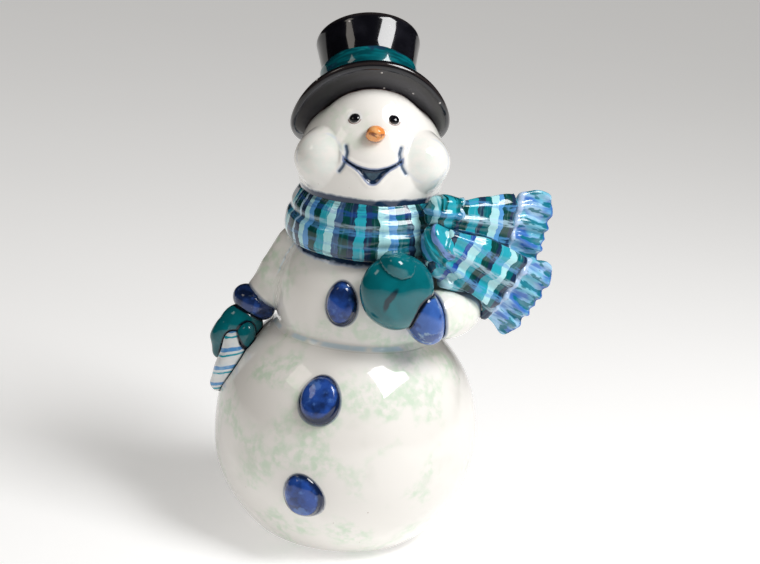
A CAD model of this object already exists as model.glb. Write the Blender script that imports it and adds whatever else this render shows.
"""Glazed ceramic snowman: sculpted pieces with hand-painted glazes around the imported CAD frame.

The sculpting is done in millimetres, in the frame's own axes: +Z up, buttons towards -Y, scarf towards +X.
"""

import math

import bmesh
import bpy
import numpy as np
from mathutils import Matrix, Vector
from mathutils.bvhtree import BVHTree


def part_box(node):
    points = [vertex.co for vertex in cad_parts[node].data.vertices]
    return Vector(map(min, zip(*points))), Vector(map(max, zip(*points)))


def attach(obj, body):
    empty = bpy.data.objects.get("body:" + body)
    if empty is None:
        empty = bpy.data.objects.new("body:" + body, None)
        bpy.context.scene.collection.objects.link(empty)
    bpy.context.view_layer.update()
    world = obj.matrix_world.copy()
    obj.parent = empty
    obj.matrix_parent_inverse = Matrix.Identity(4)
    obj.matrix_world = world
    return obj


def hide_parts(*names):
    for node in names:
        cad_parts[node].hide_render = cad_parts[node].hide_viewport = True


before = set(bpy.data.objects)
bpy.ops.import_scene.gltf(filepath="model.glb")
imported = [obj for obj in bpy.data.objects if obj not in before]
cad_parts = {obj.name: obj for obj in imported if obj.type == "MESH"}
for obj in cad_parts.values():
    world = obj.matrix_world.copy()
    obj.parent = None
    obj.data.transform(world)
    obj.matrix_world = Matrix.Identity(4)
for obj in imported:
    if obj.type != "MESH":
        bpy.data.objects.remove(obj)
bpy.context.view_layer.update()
MM = 0.001

# ---- sizes that the CAD pieces were drawn with, in millimetres and degrees ----
BALL_R = 500 * (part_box("lower_body")[1].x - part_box("lower_body")[0].x)
BALL_Z = 58.2
SEAM_Z = 1000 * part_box("lower_body")[1].z
FOOT_FILLET = 14.0
FOOT_RING = 7.0
FOOT_RECESS = 1.6
VENT_R = 5.0
WALL = 4.8
TORSO = (45.0, 44.0, 48.0)
TORSO_Z = 133.5
NECK_Z = 1000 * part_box("upper_body")[1].z
NECK_R = 24.0
NECK_BORE_R = 13.0
SKULL = np.array([39.5, 37.0, 40.0])
HEAD_AT = np.array([0.5, 0.0, 207.0])
HEAD_TURN = (15.0, -20.0, -3.0)
HAT_AT = np.array([-4.8, 7.7, 231.6])
HAT_TURN = (15.0, -42.5, -5.0)
BRIM_R = 41.6
BRIM_HOLE_R = 16.0
BRIM_SAG = 5.5
CROWN_FOOT_R = 24.6
CROWN_TOP_R = 28.2
CROWN_H = 48.3
BAND_LOW = 16.0
BAND_HIGH = 27.0
SCARF_AT = np.array([1.0, 0.0, 181.0])
SCARF_R = 36.2
SCARF_HALF_W = 7.0
SCARF_HALF_H = 15.0
SCARF_LEAN = 4.5
SCARF_TIP = 4.0

# ---- glaze colours, linear ----
WHITE = (0.86, 0.835, 0.795)
SPONGE_GREEN = (0.57, 0.72, 0.55)
SHADE_GREY = (0.66, 0.66, 0.60)
INK = (0.006, 0.010, 0.022)
NAVY = (0.012, 0.030, 0.075)
SLATE = (0.045, 0.10, 0.22)
COBALT = (0.020, 0.075, 0.36)
SKY = (0.10, 0.32, 0.66)
PERIWINKLE = (0.16, 0.30, 0.66)
PALE_BLUE = (0.46, 0.66, 0.80)
TEAL = (0.002, 0.125, 0.150)
DEEP_TEAL = (0.001, 0.055, 0.070)
GREEN = (0.003, 0.050, 0.045)
TURQUOISE = (0.022, 0.36, 0.46)
MINT = (0.42, 0.74, 0.78)
RUST = (0.20, 0.055, 0.020)
ORANGE = (0.84, 0.27, 0.060)
BLACK = (0.004, 0.004, 0.006)
BARE_CLAY = (0.70, 0.64, 0.54)


# ---- vectors ----
def turned(yaw=0.0, tip=0.0, roll=0.0):
    """Roll about Y, then tip about X, then yaw about Z."""
    about_z = Matrix.Rotation(math.radians(yaw), 3, "Z")
    about_x = Matrix.Rotation(math.radians(tip), 3, "X")
    about_y = Matrix.Rotation(math.radians(roll), 3, "Y")
    return np.array(about_z @ about_x @ about_y)


HEAD_AXES = turned(*HEAD_TURN)
HAT_AXES = turned(*HAT_TURN)


def outward(points, place, axes):
    """From a local frame to the figure's."""
    return points @ axes.T + place


def inward(points, place, axes):
    """From the figure's frame to a local one."""
    return (points - place) @ axes


def smooth_step(value, low, high):
    share = np.clip((value - low) / (high - low), 0.0, 1.0)
    return share * share * (3.0 - 2.0 * share)


def bell(value, width):
    return np.exp(-((value / width) ** 2))


def fillet(gap, radius):
    """How far a surface swells towards a neighbour at a gap from it, to fill the crease between them."""
    share = np.clip(1.0 - gap / radius, 0.0, 1.0)
    return radius * (1.0 - np.sqrt(1.0 - share**2 * 0.98))


def smooth_max(a, b, width):
    share = np.clip(0.5 + 0.5 * (a - b) / width, 0.0, 1.0)
    return a * share + b * (1.0 - share) + width * share * (1.0 - share)


WAVES = np.random.default_rng(7).normal(size=(9, 3))
WAVES /= np.linalg.norm(WAVES, axis=1)[:, None]


def wobble(points, length, depth):
    """The unevenness of hand-cleaned clay: a few slow waves of one length."""
    total = np.zeros(len(points))
    for number, direction in enumerate(WAVES):
        turn = 2 * math.pi / (length * (0.8 + 0.07 * number))
        total += np.sin(points @ direction * turn + 2.4 * number)
    return depth * total / math.sqrt(len(WAVES))


def to_path(points, path):
    """Distance from each point to a line through the points of a path."""
    best = np.full(len(points), 1e9)
    path = np.asarray(path, float)
    for start, end in zip(path[:-1], path[1:]):
        run = end - start
        share = np.clip((points - start) @ run / (run @ run), 0.0, 1.0)
        gap = np.linalg.norm(points - (start + share[:, None] * run), axis=1)
        best = np.minimum(best, gap)
    return best


# ---- meshes ----
def skin(rings, looped=False):
    """Points and faces over rings of points. looped joins the last ring to the first. Otherwise each end is
    closed with one more point in its middle."""
    rings = np.asarray(rings, float)
    count, around = rings.shape[:2]
    points = rings.reshape(-1, 3)
    index = np.arange(count * around).reshape(count, around)
    if looped:
        index = np.vstack([index, index[:1]])
    here, there = index[:-1], index[1:]
    corners = [here, np.roll(here, -1, 1), np.roll(there, -1, 1), there]
    faces = np.stack(corners, -1).reshape(-1, 4).tolist()
    if not looped:
        for ring in (0, count - 1):
            tip = len(points)
            points = np.vstack([points, rings[ring].mean(0)])
            faces += [(tip, a, b) for a, b in zip(index[ring], np.roll(index[ring], -1))]
    return points, faces


def point_normals(points, faces):
    """Outward normals at the points of a closed mesh."""
    work = bmesh.new()
    mesh = bpy.data.meshes.new("work")
    mesh.from_pydata(points.tolist(), [], faces if isinstance(faces, list) else faces.tolist())
    work.from_mesh(mesh)
    bmesh.ops.recalc_face_normals(work, faces=work.faces)
    work.to_mesh(mesh)
    work.free()
    normals = np.zeros(3 * len(points))
    mesh.vertex_normals.foreach_get("vector", normals)
    bpy.data.meshes.remove(mesh)
    return normals.reshape(-1, 3)


def lathe(outline, around, depth=1.0):
    """Rings about Z for an outline of (radius, height); depth scales Y at each point of it."""
    outline = np.asarray(outline, float)
    angle = np.linspace(0, 2 * math.pi, around, endpoint=False)
    depth = np.broadcast_to(depth, len(outline))
    x = outline[:, :1] * np.sin(angle)
    y = -outline[:, :1] * np.cos(angle) * depth[:, None]
    z = np.repeat(outline[:, 1:], around, axis=1)
    return np.stack([x, y, z], -1)


def divided(outline, step):
    """The same outline with no run longer than a step."""
    outline = np.asarray(outline, float)
    result = []
    for start, end in zip(outline[:-1], outline[1:]):
        parts = max(1, math.ceil(np.linalg.norm(end - start) / step))
        for part in range(parts):
            result.append(start + (end - start) * part / parts)
    result.append(outline[-1])
    return np.array(result)


def closed_spline(poles, samples=6):
    """Points on a closed uniform cubic B-spline."""
    poles = np.asarray(poles, float)
    result = []
    for i in range(len(poles)):
        a, b, c, d = (poles[(i + k - 1) % len(poles)] for k in range(4))
        for t in np.arange(samples) / samples:
            weights = ((1 - t) ** 3, 3 * t**3 - 6 * t**2 + 4, -3 * t**3 + 3 * t**2 + 3 * t + 1, t**3)
            result.append((a * weights[0] + b * weights[1] + c * weights[2] + d * weights[3]) / 6)
    return np.array(result)


def clay(node, grain, rubs=10):
    """Evenly divided copy of a CAD node whose sharp edges are rubbed round, in millimetres."""
    blank = bpy.data.objects.new("blank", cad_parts[node].data.copy())
    bpy.context.scene.collection.objects.link(blank)
    even = blank.modifiers.new("even", "REMESH")
    even.mode = "VOXEL"
    even.voxel_size = grain * MM
    depsgraph = bpy.context.evaluated_depsgraph_get()
    mesh = bpy.data.meshes.new_from_object(blank.evaluated_get(depsgraph))
    points = np.zeros(3 * len(mesh.vertices))
    mesh.vertices.foreach_get("co", points)
    points = points.reshape(-1, 3) / MM
    edges = np.zeros(2 * len(mesh.edges), int)
    mesh.edges.foreach_get("vertices", edges)
    edges = edges.reshape(-1, 2)
    faces = [tuple(face.vertices) for face in mesh.polygons]
    bpy.data.objects.remove(blank)
    bpy.data.meshes.remove(mesh)
    ends = np.concatenate([edges[:, 0], edges[:, 1]])
    others = np.concatenate([edges[:, 1], edges[:, 0]])
    degree = np.maximum(np.bincount(ends, minlength=len(points)), 1)
    for _ in range(rubs):
        for axis in range(3):
            total = np.bincount(ends, weights=points[others, axis], minlength=len(points))
            points[:, axis] += 0.5 * (total / degree - points[:, axis])
    return points, faces


TREES = {}


def near(points, nodes, reach=8.0):
    """Distance in millimetres from each point to the nearest surface of some CAD nodes, up to a reach."""
    best = np.full(len(points), reach)
    for node in nodes:
        if node not in TREES:
            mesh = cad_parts[node].data
            corners = [v.co / MM for v in mesh.vertices]
            TREES[node] = BVHTree.FromPolygons(corners, [tuple(f.vertices) for f in mesh.polygons])
        low, high = (np.array(corner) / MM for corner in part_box(node))
        close = np.all((points > low - reach) & (points < high + reach), axis=1)
        for i in np.nonzero(close)[0]:
            hit = TREES[node].find_nearest(Vector(points[i]), best[i])
            if hit[3] is not None:
                best[i] = min(best[i], hit[3])
    return best


SHARP_ANGLE = math.radians(60.0)


def piece(name, points, faces, material, fields=None):
    """Makes the object that stands for the CAD node of the same name."""
    mesh = bpy.data.meshes.new(name)
    mesh.from_pydata((points * MM).tolist(), [], faces)
    work = bmesh.new()
    work.from_mesh(mesh)
    bmesh.ops.recalc_face_normals(work, faces=work.faces)
    work.to_mesh(mesh)
    work.free()
    mesh.polygons.foreach_set("use_smooth", [True] * len(mesh.polygons))
    mesh.set_sharp_from_angle(angle=SHARP_ANGLE)
    for field, values in (fields or {}).items():
        data = mesh.attributes.new(field, "FLOAT", "POINT").data
        data.foreach_set("value", np.asarray(values, np.float32))
    mesh.materials.append(material)
    obj = bpy.data.objects.new(name + "_glazed", mesh)
    bpy.context.scene.collection.objects.link(obj)
    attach(obj, "root")
    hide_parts(name)


# ---- paint ----
class Paint:
    """A glaze built from nodes. Arguments are sockets or plain values."""

    def __init__(self, name):
        self.material = bpy.data.materials.new(name)
        self.material.use_nodes = True
        self.tree = self.material.node_tree
        self.tree.nodes.clear()
        self.shader = self.new("ShaderNodeBsdfPrincipled")
        surface = self.new("ShaderNodeOutputMaterial")
        self.tree.links.new(self.shader.outputs["BSDF"], surface.inputs["Surface"])
        self.place = self.new("ShaderNodeTexCoord").outputs["Object"]

    def new(self, kind):
        return self.tree.nodes.new(kind)

    def put(self, socket, value):
        if isinstance(value, bpy.types.NodeSocket):
            self.tree.links.new(value, socket)
        elif socket.type == "RGBA":
            socket.default_value = (*value, 1.0)
        else:
            socket.default_value = value

    def field(self, name):
        node = self.new("ShaderNodeAttribute")
        node.attribute_name = name
        return node.outputs["Fac"]

    def math(self, operation, *values):
        node = self.new("ShaderNodeMath")
        node.operation = operation
        for socket, value in zip(node.inputs, values):
            self.put(socket, value)
        return node.outputs[0]

    def times(self, a, b):
        return self.math("MULTIPLY", a, b)

    def plus(self, a, b):
        return self.math("ADD", a, b)

    def mix(self, amount, under, over):
        node = self.new("ShaderNodeMix")
        node.data_type = "RGBA"
        self.put(node.inputs[0], amount)
        self.put(node.inputs[6], under)
        self.put(node.inputs[7], over)
        return node.outputs[2]

    def over(self, colour, tint, cover, strength=1.0):
        """The colour with a tint laid over it, as far as cover and strength say."""
        if strength != 1.0:
            cover = self.times(cover, strength)
        return self.mix(cover, colour, tint)

    def step(self, value, low, high):
        """0 below low, 1 above high, smooth between; low may be the larger."""
        node = self.new("ShaderNodeMapRange")
        node.interpolation_type = "SMOOTHSTEP"
        self.put(node.inputs["Value"], value)
        rising = low < high
        self.put(node.inputs["From Min"], low if rising else high)
        self.put(node.inputs["From Max"], high if rising else low)
        self.put(node.inputs["To Min"], 0.0 if rising else 1.0)
        self.put(node.inputs["To Max"], 1.0 if rising else 0.0)
        return node.outputs["Result"]

    def noise(self, size, detail=2.0, where=None, seed=0.0):
        """Cloudy noise whose blobs are about a size in millimetres, or in the units of where."""
        node = self.new("ShaderNodeTexNoise")
        node.noise_dimensions = "4D"
        self.put(node.inputs["Vector"], where or self.place)
        self.put(node.inputs["W"], seed)
        self.put(node.inputs["Scale"], 1.0 / size if where else 1.0 / (size * MM))
        self.put(node.inputs["Detail"], detail)
        return node.outputs["Fac"]

    def patches(self, low, high, size, detail=2.0, seed=0.0):
        """Soft-edged patches, 1 inside."""
        return self.step(self.noise(size, detail, seed=seed), low, high)

    def waver(self, amount, size, detail=2.0, seed=0.0):
        """A hand's wander to either side."""
        return self.times(self.math("SUBTRACT", self.noise(size, detail, seed=seed), 0.5), amount)

    def ragged(self, value, amount, size, detail=2.0, seed=0.0):
        """A distance made uneven, so that an edge drawn along it is too."""
        return self.plus(value, self.times(self.noise(size, detail, seed=seed), amount))

    def streaks(self, along, across, length, width, seed=0.0):
        """Noise drawn out along one coordinate, as bristles leave it."""
        node = self.new("ShaderNodeCombineXYZ")
        self.put(node.inputs[0], self.math("DIVIDE", along, length))
        self.put(node.inputs[1], self.math("DIVIDE", across, width))
        return self.noise(1.0, 2.0, node.outputs[0], seed)

    def speckle(self, size, radius):
        """1 in scattered round dots, 0 elsewhere."""
        node = self.new("ShaderNodeTexVoronoi")
        self.put(node.inputs["Vector"], self.place)
        self.put(node.inputs["Scale"], 1.0 / (size * MM))
        return self.step(node.outputs["Distance"], radius, radius * 0.5)

    def bands(self, position, period, stops):
        """Colour bands that repeat over a period; stops are (start, colour) in the period's units."""
        share = self.math("FRACT", self.math("DIVIDE", position, period))
        node = self.new("ShaderNodeValToRGB")
        self.put(node.inputs[0], share)
        ramp = node.color_ramp
        ramp.interpolation = "CONSTANT"
        while len(ramp.elements) < len(stops):
            ramp.elements.new(1.0)
        for element, (start, colour) in zip(ramp.elements, stops):
            element.position = start / period
            element.color = (*colour, 1.0)
        return node.outputs[0]

    def finish(self, colour, rough=0.2, relief=None, pits=0.0):
        """Clear gloss over the colour: slight orange peel, soft waviness and optional pinholes."""
        self.put(self.shader.inputs["Base Color"], colour)
        uneven = self.noise(9.0, 3.0, seed=4.0)
        self.put(self.shader.inputs["Roughness"], self.math("MULTIPLY_ADD", uneven, 0.12, rough - 0.06))
        self.shader.inputs["Specular IOR Level"].default_value = 0.12
        self.shader.inputs["Coat Weight"].default_value = 0.95
        self.shader.inputs["Coat Roughness"].default_value = 0.035
        self.shader.inputs["Coat IOR"].default_value = 1.5
        height = self.times(self.noise(4.5, 3.0, seed=9.0), 0.10)
        height = self.plus(height, self.times(self.noise(16.0, 1.0, seed=2.0), 0.25))
        if relief is not None:
            height = self.plus(height, relief)
        if pits:
            height = self.math("SUBTRACT", height, self.times(self.speckle(7.0, pits), 0.6))
        bump = self.new("ShaderNodeBump")
        bump.inputs["Strength"].default_value = 0.35
        bump.inputs["Distance"].default_value = 0.6 * MM
        self.put(bump.inputs["Height"], height)
        self.put(self.shader.inputs["Normal"], bump.outputs["Normal"])
        return self.material


def white_ground(paint, green=0.75):
    """Warm white with faint sponged green, cooler clouds and a few specks."""
    sponge = paint.times(paint.patches(0.48, 0.62, 26.0, 3.0, seed=1.0), green)
    dabs = paint.patches(0.34, 0.66, 4.5, 4.0, seed=3.0)
    ground = paint.mix(paint.times(sponge, dabs), WHITE, SPONGE_GREEN)
    clouds = paint.times(paint.patches(0.55, 0.75, 24.0, 2.0, seed=6.0), 0.35)
    ground = paint.over(ground, SHADE_GREY, clouds)
    return paint.mix(paint.times(paint.speckle(11.0, 0.045), 0.5), ground, RUST)


def outlined(paint, colour, ink, width):
    """A dark line painted where a piece meets its neighbours, with a hand's uneven width."""
    edge = paint.ragged(paint.field("edge"), 1.6, 5.0, 2.0, seed=5.0)
    return paint.mix(paint.step(edge, width + 1.3, width + 0.3), colour, ink)


def seam_line(paint, colour):
    """The pale broken line in the crease between the two snowballs."""
    gaps = paint.patches(0.42, 0.56, 11.0, 1.0, seed=8.0)
    line = paint.times(paint.step(paint.field("seam"), 1.7, 0.5), gaps)
    return paint.over(colour, PALE_BLUE, line, 0.6)


def button_line(paint, colour):
    return paint.over(colour, SLATE, paint.step(paint.field("button"), 1.1, 0.2), 0.7)


def ball_paint():
    paint = Paint("sponged_white_glaze")
    colour = white_ground(paint)
    colour = seam_line(paint, colour)
    colour = button_line(paint, colour)
    colour = paint.over(colour, NAVY, paint.step(paint.field("hand"), 0.9, 0.2))
    colour = paint.over(colour, BARE_CLAY, paint.step(paint.field("foot"), 1.2, 0.5))
    return paint.finish(colour, 0.18, pits=0.05)


def torso_paint():
    paint = Paint("white_torso_glaze")
    colour = white_ground(paint)
    colour = seam_line(paint, colour)
    ragged = paint.ragged(paint.field("scarf"), 2.4, 4.5, 2.0)
    colour = paint.over(colour, PERIWINKLE, paint.step(ragged, 6.2, 5.0), 0.45)
    colour = paint.over(colour, NAVY, paint.step(ragged, 5.4, 4.3))
    colour = paint.over(colour, NAVY, paint.step(paint.field("hand"), 1.1, 0.3), 0.8)
    colour = button_line(paint, colour)
    return paint.finish(colour, 0.18, pits=0.05)


CHEEK_BLUSH = (0.64, 0.79, 0.74)
CHEEK_ARC = (0.50, 0.62, 0.80)
EYE_HALO = (0.90, 0.90, 0.90)
SMILE_EDGE = (0.20, 0.34, 0.58)
SMILE_LINE = (0.035, 0.075, 0.14)
LIP_EDGE = (0.06, 0.13, 0.34)
LIP_LINE = (0.008, 0.022, 0.055)
MOUTH_DARK = (0.016, 0.045, 0.075)
MOUTH_LIGHT = (0.04, 0.10, 0.15)
CHIN_SHADE = (0.06, 0.12, 0.22)
CHEEK_RIM = 12.3


def head_paint():
    paint = Paint("painted_face_glaze")
    colour = white_ground(paint, 0.35)
    for side in ("left_cheek", "right_cheek"):
        disc = paint.times(paint.step(paint.field(side), 12.5, 10.0), 0.30)
        blush = paint.patches(0.34, 0.66, 5.0, 3.0, seed=2.0)
        colour = paint.over(colour, CHEEK_BLUSH, paint.times(disc, blush))
        rim = paint.math("ABSOLUTE", paint.math("SUBTRACT", paint.field(side), CHEEK_RIM))
        arc = paint.times(paint.step(rim, 1.3, 0.2), paint.patches(0.46, 0.62, 9.0, 1.0, seed=8.0))
        colour = paint.over(colour, CHEEK_ARC, arc, 0.35)
    colour = paint.over(colour, EYE_HALO, paint.step(paint.field("eye"), 4.6, 3.4), 0.8)
    colour = paint.over(colour, RUST, paint.step(paint.field("eye_rim"), 0.5, 0.1), 0.75)
    smile = paint.field("crease")
    colour = paint.over(colour, SMILE_EDGE, paint.step(smile, 1.9, 0.9), 0.35)
    colour = paint.over(colour, SMILE_LINE, paint.step(smile, 1.15, 0.35), 0.9)
    edge = paint.ragged(paint.field("mouth"), 0.5, 3.0, 1.0, seed=3.0)
    colour = paint.over(colour, LIP_EDGE, paint.step(edge, -0.9, -0.1), 0.75)
    colour = paint.over(colour, LIP_LINE, paint.step(edge, 0.0, 0.5))
    fill = paint.mix(paint.patches(0.35, 0.65, 3.0, 2.0, seed=6.0), MOUTH_DARK, MOUTH_LIGHT)
    colour = paint.over(colour, fill, paint.step(edge, 1.7, 2.4))
    ragged = paint.ragged(paint.field("scarf"), 2.0, 4.0, 2.0)
    colour = paint.over(colour, CHIN_SHADE, paint.step(ragged, 5.2, 4.0), 0.7)
    colour = paint.over(colour, NAVY, paint.step(ragged, 4.4, 3.4))
    line = paint.ragged(paint.field("hat"), 0.8, 3.0, 1.0)
    colour = paint.over(colour, RUST, paint.step(line, 1.7, 0.9), 0.8)
    colour = paint.over(colour, INK, paint.step(line, 0.9, 0.5))
    return paint.finish(colour, 0.18, pits=0.04)


WORN_LIP = (0.06, 0.045, 0.04)


def black_paint(name):
    """Black glaze, thin and streaky under the brim, with pale pits in patches and a worn lip."""
    paint = Paint(name)
    wash = paint.patches(0.45, 0.75, 14.0, 3.0, seed=2.0)
    colour = paint.mix(paint.times(wash, 0.5), BLACK, (0.016, 0.016, 0.022))
    under = paint.step(paint.field("under"), 0.2, 0.9)
    streak = paint.step(paint.streaks(paint.field("u"), paint.field("v"), 60.0, 4.0, 3.0), 0.38, 0.62)
    thin = paint.mix(streak, (0.006, 0.006, 0.009), (0.020, 0.020, 0.028))
    colour = paint.over(colour, thin, under)
    patchy = paint.patches(0.48, 0.54, 14.0, 1.0, seed=3.0)
    specks = paint.times(paint.speckle(6.0, 0.13), patchy)
    colour = paint.over(colour, (0.60, 0.57, 0.55), specks, 0.9)
    colour = paint.over(colour, WORN_LIP, paint.step(paint.field("lip"), 0.5, 0.1), 0.35)
    return paint.finish(colour, 0.16, pits=0.07)


def band_paint():
    paint = Paint("teal_ribbon_glaze")
    brush = paint.streaks(paint.field("u"), paint.field("v"), 16.0, 2.2, 1.0)
    colour = paint.mix(paint.step(brush, 0.40, 0.62), DEEP_TEAL, TEAL)
    light = paint.step(paint.streaks(paint.field("u"), paint.field("v"), 9.0, 3.0, 5.0), 0.58, 0.70)
    colour = paint.over(colour, (0.012, 0.22, 0.25), light, 0.7)
    dark = paint.patches(0.56, 0.66, 8.0, 2.0, seed=3.0)
    colour = paint.over(colour, NAVY, dark, 0.8)
    return paint.finish(colour, 0.18, pits=0.05)


# Where each painted band starts, in millimetres along the cloth, and its colour.
WRAP_STOPS = [
    (0.0, TEAL), (5.0, NAVY), (8.5, GREEN), (12.5, TURQUOISE), (16.5, MINT), (19.0, NAVY), (23.0, GREEN),
    (27.0, PALE_BLUE), (29.0, NAVY), (33.0, MINT), (36.5, SKY), (40.0, GREEN), (45.0, TURQUOISE),
    (50.0, MINT), (54.5, SLATE), (58.5, GREEN), (63.0, NAVY), (66.5, TURQUOISE), (72.0, NAVY),
    (75.5, GREEN), (79.5, MINT), (85.0, SKY), (90.0, TEAL), (96.0, NAVY), (100.0, MINT), (105.0, GREEN),
    (110.0, TURQUOISE),
]
TAIL_STOPS = [
    (0.0, NAVY), (3.0, GREEN), (7.0, TURQUOISE), (12.0, NAVY), (15.0, TEAL), (19.0, MINT), (24.0, SKY),
    (27.0, GREEN), (31.0, NAVY), (34.0, TURQUOISE), (39.5, NAVY), (43.0, GREEN), (46.5, TEAL), (49.5, MINT),
]
LOWER_STOPS = [
    (0.0, NAVY), (3.0, TURQUOISE), (9.0, COBALT), (12.0, MINT), (17.0, TURQUOISE), (21.0, GREEN),
    (25.0, NAVY), (28.0, TURQUOISE), (34.0, MINT), (38.0, TEAL), (42.0, NAVY), (46.0, GREEN),
    (49.5, TURQUOISE), (54.0, MINT),
]
KNOT_STOPS = [
    (0.0, TEAL), (3.6, MINT), (7.0, GREEN), (10.5, TURQUOISE), (15.0, TEAL), (19.0, PALE_BLUE),
    (21.5, TURQUOISE),
]
FOLD_STOPS = [
    (0.0, TURQUOISE), (3.0, SKY), (5.0, TEAL), (8.0, MINT), (10.0, TURQUOISE), (13.0, PERIWINKLE),
    (15.5, TEAL),
]
CANE_STOPS = [
    (0.0, (0.80, 0.82, 0.83)), (2.6, SKY), (4.7, (0.78, 0.82, 0.84)), (6.1, TURQUOISE),
    (7.1, (0.82, 0.84, 0.84)),
]


def plaid_paint(name, period, stops, cross):
    """Brushed bands across the scarf, with fainter lengthwise strokes over them."""
    paint = Paint(name)
    along = paint.field("u")
    across = paint.field("v")
    drift = paint.waver(5.0, 7.0, 2.0, seed=1.0)
    ragged = paint.waver(1.5, 1.6, 2.0, seed=2.0)
    moved = paint.plus(along, paint.plus(drift, ragged))
    stripe = paint.bands(moved, period, stops)
    bristle = paint.streaks(across, along, 15.0, 1.5, 4.0)
    cover = paint.math("MULTIPLY_ADD", paint.step(bristle, 0.26, 0.50), 0.28, 0.72)
    wash = paint.mix(paint.patches(0.4, 0.6, 8.0, 2.0, seed=7.0), TURQUOISE, MINT)
    colour = paint.mix(cover, wash, stripe)
    waver = paint.waver(3.0, 9.0, 1.0, seed=5.0)
    level = paint.plus(across, waver)
    broken = paint.step(paint.streaks(along, across, 6.0, 1.2, 6.0), 0.34, 0.56)
    for height, half_width, tint, strength in cross:
        gap = paint.math("ABSOLUTE", paint.math("SUBTRACT", level, height))
        stroke = paint.times(paint.step(gap, half_width + 0.5, half_width - 0.4), broken)
        colour = paint.over(colour, tint, stroke, strength)
    colour = outlined(paint, colour, NAVY, 0.6)
    relief = paint.times(bristle, 0.12)
    return paint.finish(colour, 0.18, relief)


def fringe_paint():
    paint = Paint("brushed_fringe_glaze")
    along = paint.field("u")
    across = paint.field("v")
    dash = paint.streaks(along, across, 16.0, 3.4, 1.0)
    colour = paint.mix(paint.step(dash, 0.38, 0.60), (0.05, 0.17, 0.52), (0.34, 0.58, 0.80))
    sky = paint.times(paint.patches(0.46, 0.62, 9.0, 2.0, seed=6.0), 0.75)
    colour = paint.over(colour, (0.14, 0.50, 0.62), sky)
    teal = paint.step(paint.streaks(along, across, 11.0, 3.0, 5.0), 0.51, 0.56)
    colour = paint.over(colour, (0.002, 0.16, 0.22), teal, 0.92)
    rim = paint.ragged(paint.field("rim"), 2.0, 4.0, 1.0, seed=2.0)
    colour = paint.over(colour, (0.035, 0.12, 0.46), paint.step(rim, 3.6, 2.0), 0.8)
    hem = paint.ragged(along, 2.0, 5.0, 1.0, seed=3.0)
    colour = paint.over(colour, (0.50, 0.62, 0.84), paint.step(hem, 4.4, 3.2), 0.75)
    colour = outlined(paint, colour, DEEP_TEAL, 0.6)
    return paint.finish(colour, 0.18, paint.times(dash, 0.15))


def knot_paint():
    """Bands across the knot, and one stroke over them."""
    paint = Paint("knot_glaze")
    along = paint.field("u")
    across = paint.field("v")
    drift = paint.waver(5.0, 6.0, 2.0, seed=1.0)
    stripe = paint.bands(paint.plus(along, drift), 24.0, KNOT_STOPS)
    bristle = paint.streaks(across, along, 12.0, 1.4, 3.0)
    colour = paint.mix(paint.step(bristle, 0.26, 0.50), TURQUOISE, stripe)
    level = paint.math("ABSOLUTE", paint.plus(across, paint.times(drift, 0.6)))
    colour = paint.over(colour, SKY, paint.step(level, 2.2, 1.2), 0.5)
    colour = outlined(paint, colour, NAVY, 0.3)
    return paint.finish(colour, 0.18, paint.times(bristle, 0.12))


def fold_paint():
    """Long strokes that fan out of the knot into the lower tail."""
    paint = Paint("knot_fold_glaze")
    along = paint.field("u")
    across = paint.field("v")
    drift = paint.waver(3.0, 6.0, 2.0, seed=1.0)
    stripe = paint.bands(paint.plus(across, drift), 19.0, FOLD_STOPS)
    bristle = paint.streaks(along, across, 14.0, 1.4, 3.0)
    colour = paint.mix(paint.step(bristle, 0.28, 0.50), TURQUOISE, stripe)
    dark = paint.times(paint.step(paint.streaks(along, across, 9.0, 3.0, 6.0), 0.58, 0.66), 0.7)
    colour = paint.over(colour, NAVY, dark)
    colour = outlined(paint, colour, NAVY, 0.3)
    return paint.finish(colour, 0.18, paint.times(bristle, 0.15))


def mitten_paint(name, line=1.0, marked=False):
    """Teal with an outline, and on the raised hand one dark stroke."""
    paint = Paint(name)
    brush = paint.noise(12.0, 2.0, seed=1.0)
    colour = paint.mix(paint.step(brush, 0.20, 0.55), (0.001, 0.085, 0.100), TEAL)
    light = paint.times(paint.patches(0.5, 0.7, 15.0, 1.0, seed=3.0), 0.7)
    colour = paint.over(colour, (0.002, 0.17, 0.20), light)
    if marked:
        mark = paint.ragged(paint.field("mark"), 0.8, 3.0)
        colour = paint.over(colour, INK, paint.step(mark, 2.6, 1.4), 0.85)
    colour = outlined(paint, colour, INK, line)
    return paint.finish(colour, 0.17)


CUFF_BLUE = (0.05, 0.14, 0.46)
CUFF_STROKE = (0.015, 0.05, 0.22)
CUFF_NAVY = (0.008, 0.018, 0.060)
CUFF_PATCH = (0.035, 0.10, 0.40)


def cuff_paint(name, ground, patch, share):
    """Brushed ground with patches of a second blue over a share of it."""
    paint = Paint(name)
    brush = paint.noise(7.0, 3.0, seed=1.0)
    between = [0.6 * a + 0.4 * b for a, b in zip(ground, patch)]
    colour = paint.mix(paint.step(brush, 0.36, 0.64), ground, between)
    patches = paint.step(paint.noise(9.0, 2.0, seed=6.0), 0.66 - share, 0.74 - share)
    colour = paint.over(colour, patch, patches, 0.8)
    light = paint.times(paint.patches(0.58, 0.70, 5.0, 3.0, seed=4.0), share * 6)
    colour = paint.over(colour, PALE_BLUE, light)
    colour = outlined(paint, colour, INK, 1.4)
    return paint.finish(colour, 0.17)


def sleeve_paint():
    paint = Paint("white_sleeve_glaze")
    colour = white_ground(paint)
    line = paint.step(paint.field("edge"), 2.2, 0.8)
    colour = paint.over(colour, SLATE, line, 0.75)
    fold = paint.times(paint.step(paint.field("body"), 1.6, 0.4), 0.45)
    colour = paint.over(colour, PALE_BLUE, fold)
    return paint.finish(colour, 0.18, pits=0.05)


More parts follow.
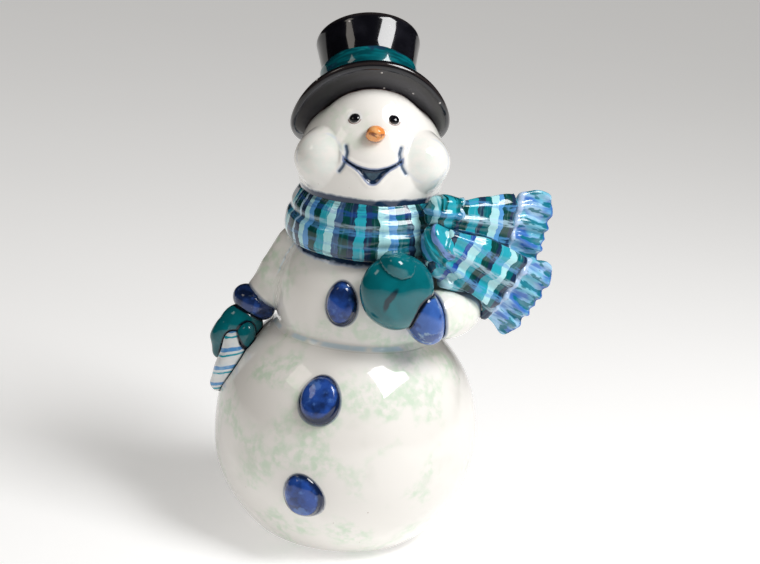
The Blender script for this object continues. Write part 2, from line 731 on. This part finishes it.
def button_paint():
    paint = Paint("marbled_button_glaze")
    swirl = paint.noise(8.0, 4.0, seed=1.0)
    colour = paint.mix(paint.step(swirl, 0.34, 0.60), (0.010, 0.026, 0.10), (0.022, 0.075, 0.34))
    veins = paint.patches(0.53, 0.66, 4.2, 4.0, seed=4.0)
    colour = paint.over(colour, (0.09, 0.20, 0.52), veins, 0.6)
    rim = paint.ragged(paint.field("rim"), 0.14, 4.0, 2.0, seed=7.0)
    colour = paint.over(colour, (0.006, 0.014, 0.050), paint.step(rim, 0.84, 0.98))
    return paint.finish(colour, 0.16, pits=0.06)


def nose_paint():
    paint = Paint("orange_nose_glaze")
    soft = paint.patches(0.35, 0.65, 4.0, 2.0, seed=2.0)
    colour = paint.mix(soft, ORANGE, (0.90, 0.44, 0.16))
    stroke = paint.step(paint.field("stroke"), 1.2, 0.5)
    broken = paint.patches(0.36, 0.55, 1.6, 2.0, seed=5.0)
    colour = paint.over(colour, RUST, paint.times(stroke, broken), 0.9)
    colour = paint.over(colour, RUST, paint.step(paint.field("edge"), 1.1, 0.3), 0.8)
    return paint.finish(colour, 0.18)


def eye_paint():
    paint = Paint("black_eye_glaze")
    ring = paint.patches(0.5, 0.8, 1.4, 1.0, seed=2.0)
    colour = paint.mix(ring, BLACK, (0.02, 0.02, 0.026))
    return paint.finish(colour, 0.12)


def cane_paint():
    paint = Paint("striped_cane_glaze")
    drift = paint.waver(1.6, 5.0, 2.0, seed=1.0)
    along = paint.plus(paint.field("u"), drift)
    stripe = paint.bands(along, 9.6, CANE_STOPS)
    stain = paint.times(paint.patches(0.5, 0.7, 4.0, 2.0, seed=3.0), 0.35)
    colour = paint.mix(stain, stripe, PALE_BLUE)
    colour = paint.over(colour, DEEP_TEAL, paint.step(paint.field("belly"), 1.5, 0.4), 0.8)
    colour = outlined(paint, colour, INK, 0.5)
    return paint.finish(colour, 0.17)


# ---- body ----
SLEEVE_FILLET = 3.2


def ball_radius(height):
    return np.sqrt(np.maximum(BALL_R**2 - (height - BALL_Z) ** 2, 0.0))


def torso_radius(height):
    share = np.clip((height - TORSO_Z) / TORSO[2], -1.0, 1.0)
    return TORSO[0] * np.sqrt(1 - share**2)


def body_radius(height):
    """Both snowballs with a soft hollow where they meet, and the neck."""
    waist = smooth_max(ball_radius(height), torso_radius(height), 5.0)
    below = np.where(height < TORSO_Z, waist, torso_radius(height))
    return np.where(height < TORSO_Z, below, smooth_max(below, NECK_R, 3.0))


def body_rings(outline, around):
    outline = np.asarray(outline, float)
    depth = 1.0 - (1.0 - TORSO[1] / TORSO[0]) * smooth_step(outline[:, 1], SEAM_Z, SEAM_Z + 20.0)
    rings = lathe(outline, around, depth)
    flat = rings.reshape(-1, 3)
    swell = wobble(flat, 34.0, 0.30) * smooth_step(flat[:, 2], 3.0, 16.0)
    radius = np.maximum(np.hypot(flat[:, 0], flat[:, 1]), 1.0)
    outer = smooth_step(radius, 20.0, 30.0)
    flat[:, :2] *= (1.0 + swell * outer / radius)[:, None]
    return flat.reshape(rings.shape)


def lower_body():
    arc = FOOT_FILLET
    reach = BALL_R - arc
    fillet_r = math.sqrt(reach**2 - (BALL_Z - arc) ** 2)
    join = math.atan2(arc - BALL_Z, fillet_r)
    top = math.asin((SEAM_Z - BALL_Z) / BALL_R)
    swing = np.linspace(top, join, 150)
    height = BALL_Z + BALL_R * np.sin(swing)
    height[0] = SEAM_Z
    outer = np.stack([body_radius(height), height], 1)
    turn = np.linspace(join, -math.pi / 2, 16)[1:]
    foot = np.stack([fillet_r + arc * np.cos(turn), arc + arc * np.sin(turn)], 1)
    ring_in = fillet_r - FOOT_RING
    floor = FOOT_RECESS + WALL
    base = divided([
        (fillet_r, 0.0), (ring_in + 0.5, 0.0), (ring_in, 0.15), (ring_in - 0.8, 1.0), (ring_in - 1.6, 1.45),
        (ring_in - 2.6, FOOT_RECESS), (VENT_R + 0.9, FOOT_RECESS), (VENT_R + 0.2, FOOT_RECESS + 0.3),
        (VENT_R, FOOT_RECESS + 1.0), (VENT_R, floor - 1.0), (VENT_R + 0.3, floor - 0.2),
        (VENT_R + 1.2, floor),
        (36.0, floor),
    ], 1.6)[1:]
    inner_r = BALL_R - WALL
    lowest = math.asin((floor + 3.0 - BALL_Z) / inner_r)
    rise = np.linspace(lowest, math.asin((SEAM_Z - BALL_Z) / inner_r), 40)
    inner = np.stack([inner_r * np.cos(rise), BALL_Z + inner_r * np.sin(rise)], 1)
    outline = np.vstack([outer, foot, base, inner])
    points, faces = skin(body_rings(outline, 360), looped=True)
    fields = {
        "seam": np.abs(points[:, 2] - SEAM_Z - 1.5),
        "button": near(points, ["middle_button", "bottom_button"], 3.0),
        "hand": near(points, ["candy_cane", "right_mitten", "right_thumb", "left_cuff", "left_mitten"], 3.0),
        "foot": np.maximum(points[:, 2], 0.0) + 3.0 * (np.hypot(points[:, 0], points[:, 1]) > fillet_r + 1.0),
    }
    piece("lower_body", points, faces, ball_paint(), fields)


def upper_body():
    height = np.linspace(SEAM_Z, NECK_Z, 90)
    outer = np.stack([body_radius(height), height], 1)
    inner_height = np.linspace(NECK_Z - 8.0, SEAM_Z, 28)
    share = (inner_height - TORSO_Z) / (TORSO[2] - WALL)
    inner_r = (TORSO[0] - WALL) * np.sqrt(np.maximum(1 - share**2, 0.0))
    inner = np.stack([np.maximum(inner_r, NECK_BORE_R), inner_height], 1)
    outline = np.vstack([outer, [(NECK_BORE_R, NECK_Z)], inner])
    points, faces = skin(body_rings(outline, 360), looped=True)
    swell = fillet(near(points, ["left_arm", "right_arm"], SLEEVE_FILLET), SLEEVE_FILLET)
    points[:, :2] *= (1.0 + swell / np.hypot(points[:, 0], points[:, 1]))[:, None]
    fields = {
        "seam": np.abs(points[:, 2] - SEAM_Z - 1.5),
        "scarf": near(points, ["scarf_wrap", "scarf_knot_fold"], 9.0),
        "hand": near(points, ["left_mitten", "left_cuff", "left_thumb", "right_cuff"], 4.0),
        "button": near(points, ["top_button"], 3.0),
    }
    piece("upper_body", points, faces, torso_paint(), fields)


# ---- head ----
CHEEK_AT = (26.3, -19.0, -0.5)
CHEEK = np.array([14.7, 14.0, 14.7])
EYE_AT = (10.2, -30.9, 19.4)
LAUGH_LINE = [(14.4, 4.2), (13.6, 1.0), (13.9, -2.6), (15.2, -5.8), (17.4, -8.8)]
CHEEK_BLEND = 6.5
FAR = 20.0
MOUTH_HALF = 14.5
MOUTH_CORNER_Z = -3.0
MOUTH_UPPER_DROP = 5.6
LIP = 1.5
OPENING = 5.7
OPENING_SPREAD = 0.38
OPENING_POWER = 2.4


def ellipsoid_reach(directions, centre, radii):
    """How far along each direction from the origin an ellipsoid's far side is."""
    ray = directions / radii
    offset = np.asarray(centre) / radii
    a = (ray**2).sum(1)
    b = ray @ offset
    c = offset @ offset - 1.0
    return (b + np.sqrt(np.maximum(b**2 - a * c, 0.0))) / a


def crescent(x, z):
    """Signed distance into the mouth: a painted line along a shallow arc, opening downwards in the middle."""
    share = np.clip(x / MOUTH_HALF, -1.2, 1.2)
    upper = MOUTH_CORNER_Z - MOUTH_UPPER_DROP * (1 - share**2) + 0.7
    spread = np.abs(share) / OPENING_SPREAD
    opening = OPENING * np.exp(-(spread**OPENING_POWER))
    lower = upper - LIP - opening
    fall = OPENING_POWER * spread ** (OPENING_POWER - 1.0) * opening / OPENING_SPREAD
    slope = (2 * MOUTH_UPPER_DROP * np.abs(share) + fall) / MOUTH_HALF
    inside = np.minimum(upper - z, (z - lower) / np.hypot(1.0, slope))
    return np.minimum(inside, (1.04 - np.abs(share)) * MOUTH_HALF)


def brim_lift(radius, angle):
    share = np.clip((radius - 14.0) / (BRIM_R - 14.0), 0.0, 1.0)
    return BRIM_SAG * share * np.cos(2 * angle)


def under_hat(points):
    """Flatten whatever lies above the brim's underside."""
    local = inward(points, HAT_AT, HAT_AXES)
    radius = np.hypot(local[:, 0], local[:, 1])
    angle = np.arctan2(local[:, 0], -local[:, 1])
    local[:, 2] = np.minimum(local[:, 2], brim_lift(radius, angle) - 0.8)
    return outward(local, HAT_AT, HAT_AXES)


def head():
    around, down = 420, 270
    azimuth = np.linspace(0, 2 * math.pi, around, endpoint=False)
    polar = np.linspace(0.008, math.pi - 0.42, down)
    inner_polar = np.linspace(math.pi - 0.42, 0.05, 40)
    both = np.concatenate([polar, inner_polar])
    directions = np.stack([
        np.sin(both)[:, None] * np.sin(azimuth),
        -np.sin(both)[:, None] * np.cos(azimuth),
        np.cos(both)[:, None] * np.ones(around),
    ], -1).reshape(-1, 3)
    local = directions @ HEAD_AXES
    reach = ellipsoid_reach(local, (0, 0, 0), SKULL)
    cheeks = np.zeros(len(reach))
    for side in (-1, 1):
        at = np.array([side * CHEEK_AT[0], CHEEK_AT[1], CHEEK_AT[2]])
        cheeks = np.maximum(cheeks, ellipsoid_reach(local, at, CHEEK))
    reach = smooth_max(reach, cheeks, CHEEK_BLEND)
    on = local * reach[:, None]
    front = smooth_step(-on[:, 1], 12.0, 20.0)
    x, z = on[:, 0], on[:, 2]
    mouth = np.where(front > 0.5, crescent(x, z), -FAR)
    laugh = np.full(len(x), FAR)
    flat = np.stack([x, z], 1)
    for side in (-1, 1):
        path = [(side * x, z) for x, z in LAUGH_LINE]
        laugh = np.minimum(laugh, to_path(flat, path))
    laugh = np.where(front > 0.5, laugh, FAR)
    bulge = 1.5 * bell(x, 13.0) * bell(z + 2.0, 8.5) + 0.8 * bell(x, 10.0) * bell(z + 21.0, 6.0)
    bulge += 4.4 * bell(x, 24.0) * bell(z - 32.0, 9.0)
    bulge -= 0.9 * bell(laugh, 1.2)
    bulge -= 1.5 * smooth_step(mouth, -0.2, 1.3)
    bulge += 0.35 * bell(mouth + 1.3, 0.9)
    eyes = np.full(len(x), FAR)
    rims = np.full(len(x), FAR)
    for side in (-1, 1):
        at = np.array([side * EYE_AT[0], EYE_AT[1], EYE_AT[2]])
        gap = np.linalg.norm(on - at, axis=1)
        eyes = np.minimum(eyes, gap)
        lower = np.abs(gap - 3.4) + 3.0 * smooth_step(z, at[2] - 1.0, at[2] + 1.6)
        rims = np.minimum(rims, lower)
    bulge -= 0.55 * bell(eyes, 4.6)
    reach = reach + bulge * front + wobble(on, 30.0, 0.18)
    layer = np.repeat(np.arange(len(both)) >= down, around)
    reach = np.where(layer, ellipsoid_reach(local, (0, 0, 0), SKULL - WALL), reach)
    points = HEAD_AT + directions * reach[:, None]
    points = under_hat(points)
    points[:, 2] = np.maximum(points[:, 2], NECK_Z + np.where(layer, WALL, 0.0))
    points, faces = skin(points.reshape(len(both), around, 3))
    fields = {"mouth": mouth, "crease": laugh, "eye": eyes, "eye_rim": rims}
    for side, name in ((-1, "left_cheek"), (1, "right_cheek")):
        at = np.array([side * (CHEEK_AT[0] + 2.0), CHEEK_AT[1] - 11.0, CHEEK_AT[2]])
        fields[name] = np.linalg.norm(on - at, axis=1)
    end_points = [FAR, FAR]
    fields = {name: np.append(values, end_points) for name, values in fields.items()}
    fields["scarf"] = near(points, ["scarf_wrap"], 9.0)
    fields["hat"] = near(points, ["hat_brim"], 4.0)
    piece("head", points, faces, head_paint(), fields)


def small_features():
    for name in ("left_eye", "right_eye"):
        points, faces = clay(name, 0.16, 6)
        piece(name, points, faces, eye_paint())
    points, faces = clay("nose", 0.28, 8)
    points += point_normals(points, faces) * wobble(points, 7.0, 0.10)[:, None]
    local = inward(points, HEAD_AT, HEAD_AXES)
    low, high = local.min(0), local.max(0)
    span = high - low
    strokes = [
        [(0.02, 0.45), (0.10, 0.80), (0.30, 0.99)],
        [(0.25, 0.42), (0.55, 0.28), (0.95, 0.34)],
    ]
    gap = np.full(len(points), 9.0)
    for stroke in strokes:
        path = [(low[0] + u * span[0], low[2] + v * span[2]) for u, v in stroke]
        gap = np.minimum(gap, to_path(local[:, [0, 2]], path))
    fields = {"stroke": gap, "edge": near(points, ["head"], 4.0)}
    piece("nose", points, faces, nose_paint(), fields)


# ---- hat ----
def hat_brim():
    section = closed_spline([
        (BRIM_HOLE_R, -1.6), (BRIM_HOLE_R, 1.9), (24.0, 2.2), (32.0, 2.2), (38.0, 2.6), (BRIM_R, 3.4),
        (BRIM_R + 1.6, 0.6), (BRIM_R, -2.6), (38.0, -2.2), (31.0, -1.9), (24.0, -1.9),
    ], 8)
    around = 320
    rings = lathe(section, around)
    points = rings.reshape(-1, 3)
    radius = np.hypot(points[:, 0], points[:, 1])
    angle = np.arctan2(points[:, 0], -points[:, 1])
    edge = smooth_step(radius, 26.0, BRIM_R)
    points[:, 2] += brim_lift(radius, angle) + wobble(points, 42.0, 0.35) * edge
    rise = np.repeat(section[:, 1], around)
    fields = {
        "u": angle * BRIM_R,
        "v": radius,
        "under": smooth_step(-rise, 0.6, 1.6) * smooth_step(BRIM_R + 0.4 - radius, 0.0, 1.5),
        "lip": np.abs(radius - BRIM_R - 0.8) * 0.4 + 0.3 * np.abs(rise),
    }
    points, faces = skin(outward(points, HAT_AT, HAT_AXES).reshape(rings.shape), looped=True)
    piece("hat_brim", points, faces, black_paint("black_brim_glaze"), fields)


def crown_side(height):
    """Radius of the crown's flared side."""
    at = [-1.0, 0.3 * CROWN_H, 0.64 * CROWN_H, CROWN_H - 4.2]
    radius = [CROWN_FOOT_R, CROWN_FOOT_R - 0.3, CROWN_FOOT_R + 1.1, CROWN_TOP_R]
    return np.polyval(np.polyfit(at, radius, 3), height)


def hat_crown():
    edge = 3.4
    top = CROWN_H
    flat = [(r, top - 0.5 * bell(r, 14.0)) for r in np.linspace(0.6, CROWN_TOP_R - edge, 26)]
    turn = np.linspace(math.pi / 2, 0.05, 9)[1:]
    corner = [(CROWN_TOP_R - edge + edge * math.cos(t), top - edge + edge * math.sin(t)) for t in turn]
    side = [(crown_side(h), h) for h in np.linspace(top - edge - 1.0, 0.3, 52)]
    inner = [(0.84 * crown_side(h), h) for h in np.linspace(0.3, top - WALL, 16)]
    lid = [(r, top - WALL) for r in np.linspace(0.84 * CROWN_TOP_R - 2.0, 1.0, 8)]
    outline = np.array(flat + corner + side + inner + lid)
    rings = lathe(outline, 300)
    points = rings.reshape(-1, 3)
    radius = np.hypot(points[:, 0], points[:, 1])
    swell = wobble(points, 36.0, 0.25) * smooth_step(radius, 15.0, 24.0)
    points[:, :2] *= (1 + swell / np.maximum(radius, 1.0))[:, None]
    points, faces = skin(outward(points, HAT_AT, HAT_AXES).reshape(rings.shape))
    local = inward(points, HAT_AT, HAT_AXES)
    angle = np.arctan2(local[:, 0], -local[:, 1])
    rim = np.hypot(np.hypot(local[:, 0], local[:, 1]) - CROWN_TOP_R + 1.0, local[:, 2] - CROWN_H + 1.0)
    fields = {"u": angle * CROWN_TOP_R, "v": local[:, 2], "under": np.zeros(len(points)), "lip": rim * 0.15}
    piece("hat_crown", points, faces, black_paint("black_crown_glaze"), fields)


def hat_band():
    middle = (BAND_LOW + BAND_HIGH) / 2
    half = (BAND_HIGH - BAND_LOW) / 2
    proud = CROWN_FOOT_R + 1.3
    section = closed_spline([
        (proud - 3.3, middle - half), (proud - 3.3, middle + half), (proud - 0.4, middle + half + 0.8),
        (proud + 0.6, middle + 0.7 * half), (proud + 0.4, middle), (proud + 0.3, middle - 0.7 * half),
        (proud - 0.5, middle - half - 0.8),
    ], 8)
    rings = lathe(section, 280)
    points = rings.reshape(-1, 3)
    angle = np.arctan2(points[:, 0], -points[:, 1])
    share = (points[:, 2] - middle) / half
    points[:, 2] += share * (0.35 * np.sin(3 * angle + 1.0) + 0.25 * np.sin(7 * angle))
    radius = np.hypot(points[:, 0], points[:, 1])
    swell = wobble(points, 15.0, 0.16) + wobble(points, 36.0, 0.25)
    points[:, :2] *= (1 + swell / radius)[:, None]
    fields = {"u": angle * proud, "v": points[:, 2].copy()}
    points, faces = skin(outward(points, HAT_AT, HAT_AXES).reshape(rings.shape), looped=True)
    piece("hat_band", points, faces, band_paint(), fields)


# ---- scarf ----
SCARF_CROSS = [
    (1.0, 1.7, SKY, 0.45), (4.2, 0.8, PALE_BLUE, 0.35), (-7.0, 1.0, SKY, 0.30), (10.5, 1.4, COBALT, 0.5),
    (-13.0, 1.2, NAVY, 0.6), (14.0, 1.0, NAVY, 0.5),
]


def scarf_wrap():
    poles = []
    count = 10
    swell = 3.0 / (2.0 + math.cos(2 * math.pi / count))
    for i in range(count):
        angle = 2 * math.pi * i / count
        lean = SCARF_LEAN * math.sin(angle)
        radius = SCARF_R + swell * SCARF_HALF_W * math.cos(angle) - lean
        poles.append((radius, swell * SCARF_HALF_H * math.sin(angle)))
    section = closed_spline(poles, 14)
    tangent = np.roll(section, -1, 0) - np.roll(section, 1, 0)
    normal = np.stack([tangent[:, 1], -tangent[:, 0]], 1)
    normal /= np.linalg.norm(normal, axis=1)[:, None]
    around = 420
    rings = lathe(section, around)
    angle = np.linspace(0, 2 * math.pi, around, endpoint=False)
    height = section[:, 1:] / SCARF_HALF_H
    facing = smooth_step(normal[:, :1], 0.05, 0.5)
    valley = 0.05 + 0.10 * np.sin(angle + 2.2)
    second = -0.46 + 0.05 * np.sin(2 * angle)
    towards_knot = smooth_step(np.sin(angle), -0.3, 0.6)
    groove = 1.5 * bell(height - valley, 0.13) + 1.0 * towards_knot * bell(height - second, 0.11)
    groove += 0.7 * bell(height - 0.52, 0.10) * smooth_step(np.cos(angle - 1.2), 0.2, 0.8)
    push = -groove * facing
    push += wobble(rings.reshape(-1, 3), 17.0, 0.28).reshape(push.shape) * facing
    radial = np.stack([np.sin(angle), -np.cos(angle), np.zeros(around)], -1)
    rings += push[..., None] * (normal[:, :1, None] * radial + normal[:, 1:, None] * np.array([0, 0, 1.0]))
    sides = np.repeat(np.cumsum(np.linalg.norm(section - np.roll(section, 1, 0), axis=1))[:, None], around, 1)
    outer_mid = sides[0, 0]
    length = sides[-1, 0]
    across = (sides - outer_mid + length / 2) % length - length / 2
    signed = np.where(angle > math.pi, angle - 2 * math.pi, angle)
    along = np.repeat((signed * (SCARF_R + SCARF_HALF_W))[None, :], len(section), 0)
    points = outward(rings.reshape(-1, 3), SCARF_AT, turned(tip=SCARF_TIP))
    points, faces = skin(points.reshape(rings.shape), looped=True)
    fields = {
        "u": along.ravel() + 62.0,
        "v": across.ravel(),
        "edge": near(points, ["left_mitten", "left_thumb"], 4.0),
    }
    paint = plaid_paint("plaid_wrap_glaze", 115.0, WRAP_STOPS, SCARF_CROSS)
    piece("scarf_wrap", points, faces, paint, fields)


KNOT_FILLET = 2.2
DRAPE_REACH = 8.0
DRAPE_SWELL = 3.0


def cloth(name, start, end, down, grain, shape, paint, neighbours, joined=(), draped=()):
    """A knot, tail or fringe: the CAD solid with folds worked in. shape gives the push along the normal,
    the creases to the joined neighbours are filled, and it swells down onto the draped ones."""
    points, faces = clay(name, grain, 8)
    start, end, down = (np.array(v, float) for v in (start, end, down))
    along = end - start
    length = np.linalg.norm(along)
    along /= length
    across = down - along * (down @ along)
    across /= np.linalg.norm(across)
    u = (points - start) @ along
    v = (points - start) @ across
    push = shape(u / length, v, points)
    if joined:
        push += fillet(near(points, joined, KNOT_FILLET), KNOT_FILLET)
    if draped:
        gap = near(points, draped, DRAPE_REACH)
        push += np.minimum(0.75 * gap, DRAPE_SWELL) * smooth_step(gap, DRAPE_REACH, 0.5 * DRAPE_REACH)
    points = points + point_normals(points, faces) * push[:, None]
    fields = {"u": u, "v": v, "rim": u.max() - u, "edge": near(points, neighbours, 4.0)}
    piece(name, points, faces, paint, fields)


def pleats(width, depth, skew=0.0):
    def shape(share, v, points):
        fan = 0.55 + 0.45 * np.clip(share, 0, 1.3)
        ridge = np.cos(2 * math.pi * (v / (width * fan) + skew))
        return depth * (ridge - 0.4) * smooth_step(share, -0.3, 0.2) + wobble(points, 12.0, 0.15)
    return shape


def ruffles(width, depth):
    def shape(share, v, points):
        grow = smooth_step(share, 0.05, 1.0)
        ridge = np.cos(2 * math.pi * v / width + 1.3 * np.sin(v / 5.0))
        return depth * grow * (ridge - 0.5) + 0.7 * bell(share - 0.06, 0.09) + wobble(points, 9.0, 0.15)
    return shape


def folds(width, depth):
    def shape(share, v, points):
        return depth * (np.cos(2 * math.pi * v / width) - 0.5) + wobble(points, 11.0, 0.2)
    return shape


# Root, hem and outer end of each tail and its fringe.
UPPER_RUN = [(50, -16, 187), (77.4, 4.9, 181.7), (95.2, 15.4, 176.8)]
LOWER_RUN = [(48, -26, 174.5), (80.4, -2.5, 152.2), (95.0, 8.8, 141.8)]
# Height across the cloth, half width, colour and strength of the lengthwise strokes.
TAIL_CROSS = [
    (-12.0, 1.4, SKY, 0.6), (-3.5, 1.8, PALE_BLUE, 0.6), (5.5, 1.6, SKY, 0.65), (13.0, 1.5, PALE_BLUE, 0.55),
]


def scarf_ends():
    cloth("scarf_knot", (36, -24, 192), (56, -10, 190), (0.1, 0, -1), 0.5, folds(7.0, 0.6),
          knot_paint(), ["scarf_knot_fold", "upper_body"],
          joined=["scarf_wrap", "scarf_tail_upper"])
    cloth("scarf_knot_fold", (40, -30, 182), (54, -21, 166), (-0.8, 0.2, -0.6), 0.5, folds(6.0, 0.6),
          fold_paint(), ["left_mitten", "left_cuff"],
          joined=["scarf_wrap", "scarf_tail_lower"])
    root, hem, end = UPPER_RUN
    cloth("scarf_tail_upper", root, hem, (0.14, 0, -1), 0.55, pleats(12.5, 0.9, 0.1),
          plaid_paint("plaid_upper_glaze", 52.0, TAIL_STOPS, TAIL_CROSS),
          ["scarf_tail_lower"], joined=["scarf_knot"])
    cloth("scarf_fringe_upper", hem, end, (0.18, 0, -1), 0.5, ruffles(7.4, 0.9),
          fringe_paint(), ["scarf_tail_lower"])
    root, hem, end = LOWER_RUN
    cloth("scarf_tail_lower", root, hem, (-0.38, 0, -1), 0.55, pleats(12.5, 0.9, 0.35),
          plaid_paint("plaid_lower_glaze", 58.0, LOWER_STOPS, TAIL_CROSS),
          ["left_arm", "left_cuff"], joined=["scarf_knot_fold"],
          draped=["left_mitten", "left_cuff", "left_arm"])
    cloth("scarf_fringe_lower", hem, end, (-0.22, 0, -1), 0.5, ruffles(7.4, 0.9),
          fringe_paint(), ["left_arm"])


# ---- arms ----
def formed(name, grain, paint, edge, body=(), blend=(), mark=None):
    """A clay piece that only needs its edges rubbed, a little unevenness and fillets to its blend neighbours.
    It is outlined where it meets its edge neighbours. mark is a painted stroke, in shares of its box."""
    points, faces = clay(name, grain)
    push = wobble(points, 14.0, 0.2)
    if blend:
        push += fillet(near(points, blend, SLEEVE_FILLET), SLEEVE_FILLET)
    points = points + point_normals(points, faces) * push[:, None]
    fields = {"edge": near(points, edge, 5.0)}
    if body:
        fields["body"] = near(points, body, 5.0)
    if mark:
        low, high = (np.array(corner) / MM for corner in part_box(name))
        fields["mark"] = to_path(points, [low + (high - low) * np.array(share) for share in mark])
    piece(name, points, faces, paint, fields)


def arms():
    snowballs = ["upper_body", "lower_body"]
    formed("left_arm", 0.6, sleeve_paint(),
           ["left_cuff", "scarf_tail_lower", "scarf_knot_fold"], snowballs, ["upper_body"])
    formed("left_cuff", 0.45, cuff_paint("left_cuff_glaze", CUFF_BLUE, CUFF_STROKE, 0.08),
           ["left_mitten", "scarf_tail_lower", "scarf_knot_fold"])
    formed("left_mitten", 0.5, mitten_paint("left_mitten_glaze", marked=True),
           ["left_cuff", "scarf_knot_fold", "scarf_wrap", "upper_body"],
           mark=[(0.60, 0.05, 0.62), (0.47, 0.02, 0.45), (0.44, 0.0, 0.28)])
    formed("left_thumb", 0.35, mitten_paint("left_thumb_glaze", 0.1),
           ["left_mitten", "scarf_knot_fold"], blend=["left_mitten"])
    formed("right_arm", 0.5, sleeve_paint(), ["right_cuff"], snowballs, ["upper_body"])
    formed("right_cuff", 0.4, cuff_paint("right_cuff_glaze", CUFF_NAVY, CUFF_PATCH, 0.07),
           ["right_mitten", "upper_body"])
    formed("right_mitten", 0.4, mitten_paint("right_mitten_glaze"),
           ["right_cuff", "right_thumb", "candy_cane", "lower_body"])
    formed("right_thumb", 0.3, mitten_paint("right_thumb_glaze"),
           ["right_mitten", "candy_cane", "right_cuff"])
    candy_cane()


def candy_cane():
    points, faces = clay("candy_cane", 0.35, 8)
    low, high = (np.array(corner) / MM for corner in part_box("candy_cane"))
    points = points + point_normals(points, faces) * wobble(points, 9.0, 0.12)[:, None]
    lean = 0.30
    fields = {
        "u": high[2] - points[:, 2] + lean * (points[:, 0] - low[0]),
        "belly": near(points, ["lower_body"], 4.0),
        "edge": near(points, ["right_mitten", "right_thumb"], 4.0),
    }
    piece("candy_cane", points, faces, cane_paint(), fields)


# ---- buttons ----
def button(name, centre, radii):
    """Stepped dome: a flat-sloped rim, a groove and a raised marbled middle."""
    points, faces = clay(name, 0.32, 5)
    middle = points.mean(0)
    out = (middle - centre) / radii**2
    out /= np.linalg.norm(out)
    side = np.cross(out, [0.0, 0.0, 1.0])
    side /= np.linalg.norm(side)
    up = np.cross(side, out)
    flat = np.stack([(points - middle) @ side, (points - middle) @ up], 1)
    _, axes = np.linalg.eigh(np.cov(flat.T))
    turned_flat = flat @ axes
    half = (turned_flat.max(0) - turned_flat.min(0)) / 2
    turned_flat -= (turned_flat.max(0) + turned_flat.min(0)) / 2
    rim = np.linalg.norm(turned_flat / half, axis=1)
    front = smooth_step(point_normals(points, faces) @ out, -0.1, 0.3)
    push = -0.35 * smooth_step(rim, 0.74, 0.88) - 0.30 * bell(rim - 0.90, 0.05) - 0.15
    points = points + out * (push * front)[:, None]
    points = points + out * (wobble(points, 8.0, 0.15) * front)[:, None]
    centred = (points - middle) / np.ptp((points - middle) @ up) * 2
    rim = rim + 0.10 * (-(centred @ side) * 0.7 - (centred @ up) * 0.7)
    piece(name, points, faces, button_paint(), {"rim": rim})


def buttons():
    button("top_button", np.array([0, 0, TORSO_Z]), np.array(TORSO))
    ball = np.array([BALL_R] * 3)
    button("middle_button", np.array([0, 0, BALL_Z]), ball)
    button("bottom_button", np.array([0, 0, BALL_Z]), ball)


# ---- studio ----
CAMERA_AZIMUTH = 14.0
CAMERA_HEIGHT = 15.5
CAMERA_DISTANCE = 1.0
CAMERA_ROLL = 5.5
AIM = Vector((0.0, 0.0, 0.150))


def camera():
    azimuth = math.radians(CAMERA_AZIMUTH)
    height = math.radians(CAMERA_HEIGHT)
    back = Vector((
        math.sin(azimuth) * math.cos(height),
        -math.cos(azimuth) * math.cos(height),
        math.sin(height),
    ))
    right = Vector((math.cos(azimuth), math.sin(azimuth), 0.0))
    up = back.cross(right)
    roll = math.radians(CAMERA_ROLL)
    level = right * math.cos(roll) + up * math.sin(roll)
    upright = up * math.cos(roll) - right * math.sin(roll)
    data = bpy.data.cameras.new("camera")
    data.lens = 87.2
    data.sensor_width = 36.0
    data.shift_x = 0.0256
    data.shift_y = -0.0213
    obj = bpy.data.objects.new("camera", data)
    axes = Matrix((level, upright, back)).transposed()
    obj.matrix_world = Matrix.Translation(AIM + back * CAMERA_DISTANCE) @ axes.to_4x4()
    bpy.context.scene.collection.objects.link(obj)
    bpy.context.scene.camera = obj
    return level, upright, back


def softbox(name, direction, distance, size, power, tint=(1.0, 1.0, 1.0)):
    data = bpy.data.lights.new(name, "AREA")
    data.shape = "RECTANGLE"
    data.size, data.size_y = size
    data.energy = power
    data.color = tint
    obj = bpy.data.objects.new(name, data)
    obj.location = AIM + direction.normalized() * distance
    obj.rotation_euler = direction.to_track_quat("Z", "Y").to_euler()
    bpy.context.scene.collection.objects.link(obj)
    return obj


def studio():
    right, up, back = camera()
    softbox("window", right * 0.60 + up * 0.62 + back * 0.50, 1.1, (0.50, 0.46), 10.5)
    softbox("far_window", right * -0.62 + up * 0.62 + back * 0.48, 1.4, (0.34, 0.34), 0.9, (1.0, 0.93, 0.84))
    fill = softbox("fill", right * 0.90 + up * 0.20 + back * 0.75, 1.6, (1.4, 1.4), 3.9)
    fill.visible_glossy = False
    world = bpy.data.worlds.new("soft_room")
    world.use_nodes = True
    world.node_tree.nodes["Background"].inputs["Color"].default_value = (0.90, 0.86, 0.80, 1.0)
    world.node_tree.nodes["Background"].inputs["Strength"].default_value = 0.26
    world.cycles_visibility.glossy = False
    bpy.context.scene.world = world
    bpy.context.scene.view_settings.view_transform = "Standard"
    pale_floor()


def pale_floor():
    work = bmesh.new()
    bmesh.ops.create_grid(work, x_segments=8, y_segments=8, size=30.0)
    mesh = bpy.data.meshes.new("floor")
    work.to_mesh(mesh)
    work.free()
    paint = Paint("pale_floor")
    paint.put(paint.shader.inputs["Base Color"],
              paint.mix(paint.noise(300.0, 2.0), (0.86, 0.86, 0.86), (0.90, 0.90, 0.90)))
    paint.shader.inputs["Roughness"].default_value = 0.7
    paint.shader.inputs["Emission Color"].default_value = (1.0, 1.0, 1.0, 1.0)
    paint.shader.inputs["Emission Strength"].default_value = 0.30
    mesh.materials.append(paint.material)
    floor = bpy.data.objects.new("floor", mesh)
    bpy.context.scene.collection.objects.link(floor)


def main():
    studio()
    lower_body()
    upper_body()
    head()
    small_features()
    hat_brim()
    hat_crown()
    hat_band()
    scarf_wrap()
    scarf_ends()
    arms()
    buttons()


main()
